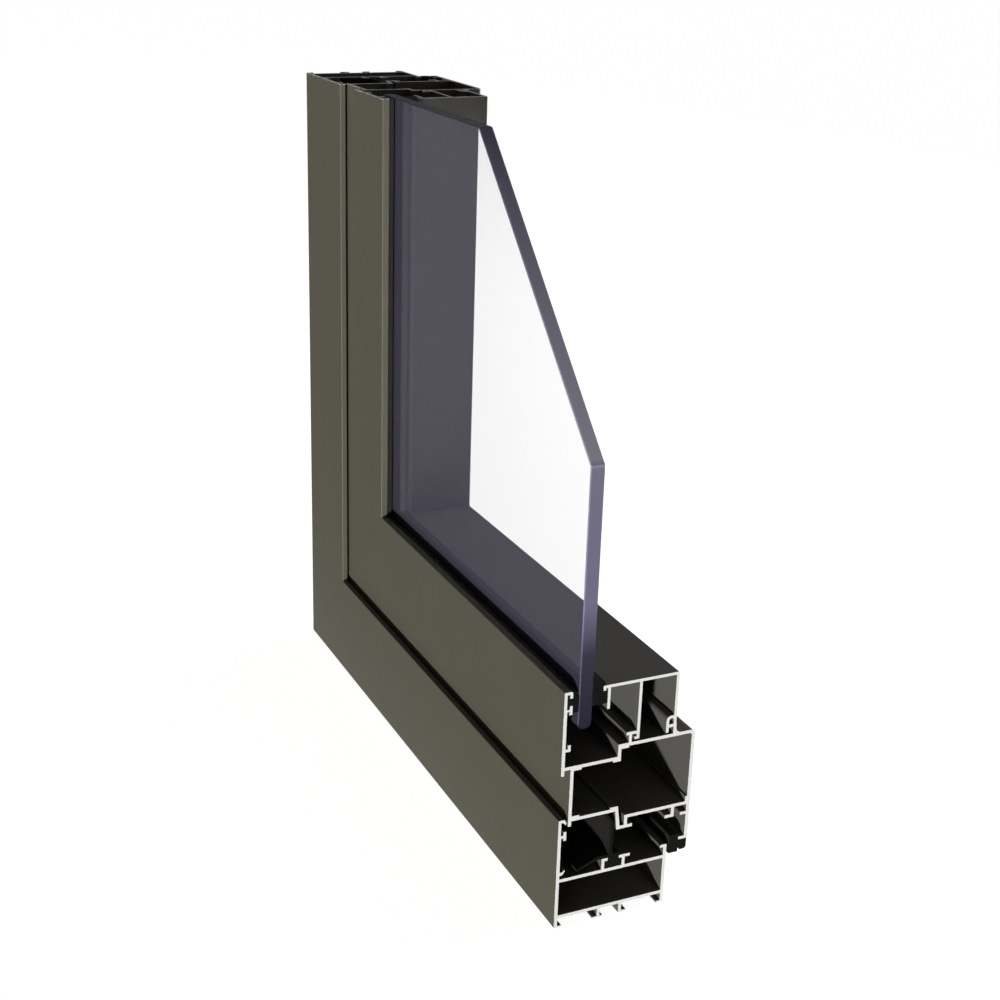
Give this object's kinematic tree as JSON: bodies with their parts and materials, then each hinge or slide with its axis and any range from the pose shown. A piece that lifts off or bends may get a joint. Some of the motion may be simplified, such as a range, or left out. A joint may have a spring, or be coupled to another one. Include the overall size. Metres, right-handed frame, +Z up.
{
  "type": "window frame profile section",
  "caption": "Corner sample of a casement window: mitred hollow frame and sash profiles with glazing bead, glass pane and rubber seals, cut open at both ends.",
  "frame": {"origin": "bottom centre of the bounding box, on the floor plane under the lower rail", "axes": "+X along the lower rail from the mitred corner to its cut end, +Y from the outdoor face to the indoor side, +Z up along the stile"},
  "size_m": [0.3, 0.0596, 0.301],
  "materials": {
    "coated_profile": "fine-textured powder coat in olive grey, bare metal where sawn",
    "seal_rubber": "matt black rubber",
    "float_glass": "clear with polished edges",
    "mill_aluminium": "as extruded, sawn at the ends"
  },
  "bodies": {
    "root": {"frame_rail": "coated_profile", "frame_stile": "coated_profile", "sash_rail": "coated_profile", "sash_stile": "coated_profile", "bead_rail": "coated_profile", "bead_stile": "coated_profile", "outer_glazing_seal_rail": "seal_rubber", "outer_glazing_seal_stile": "seal_rubber", "inner_glazing_seal_rail": "seal_rubber", "inner_glazing_seal_stile": "seal_rubber", "centre_seal_rail": "seal_rubber", "centre_seal_stile": "seal_rubber", "overlap_seal_rail": "seal_rubber", "overlap_seal_stile": "seal_rubber", "glass_pane": "float_glass", "frame_corner_cleat": "mill_aluminium", "sash_corner_cleat": "mill_aluminium", "frame_aligning_corner": "mill_aluminium", "sash_aligning_corner": "mill_aluminium"}
  },
  "joints": []
}
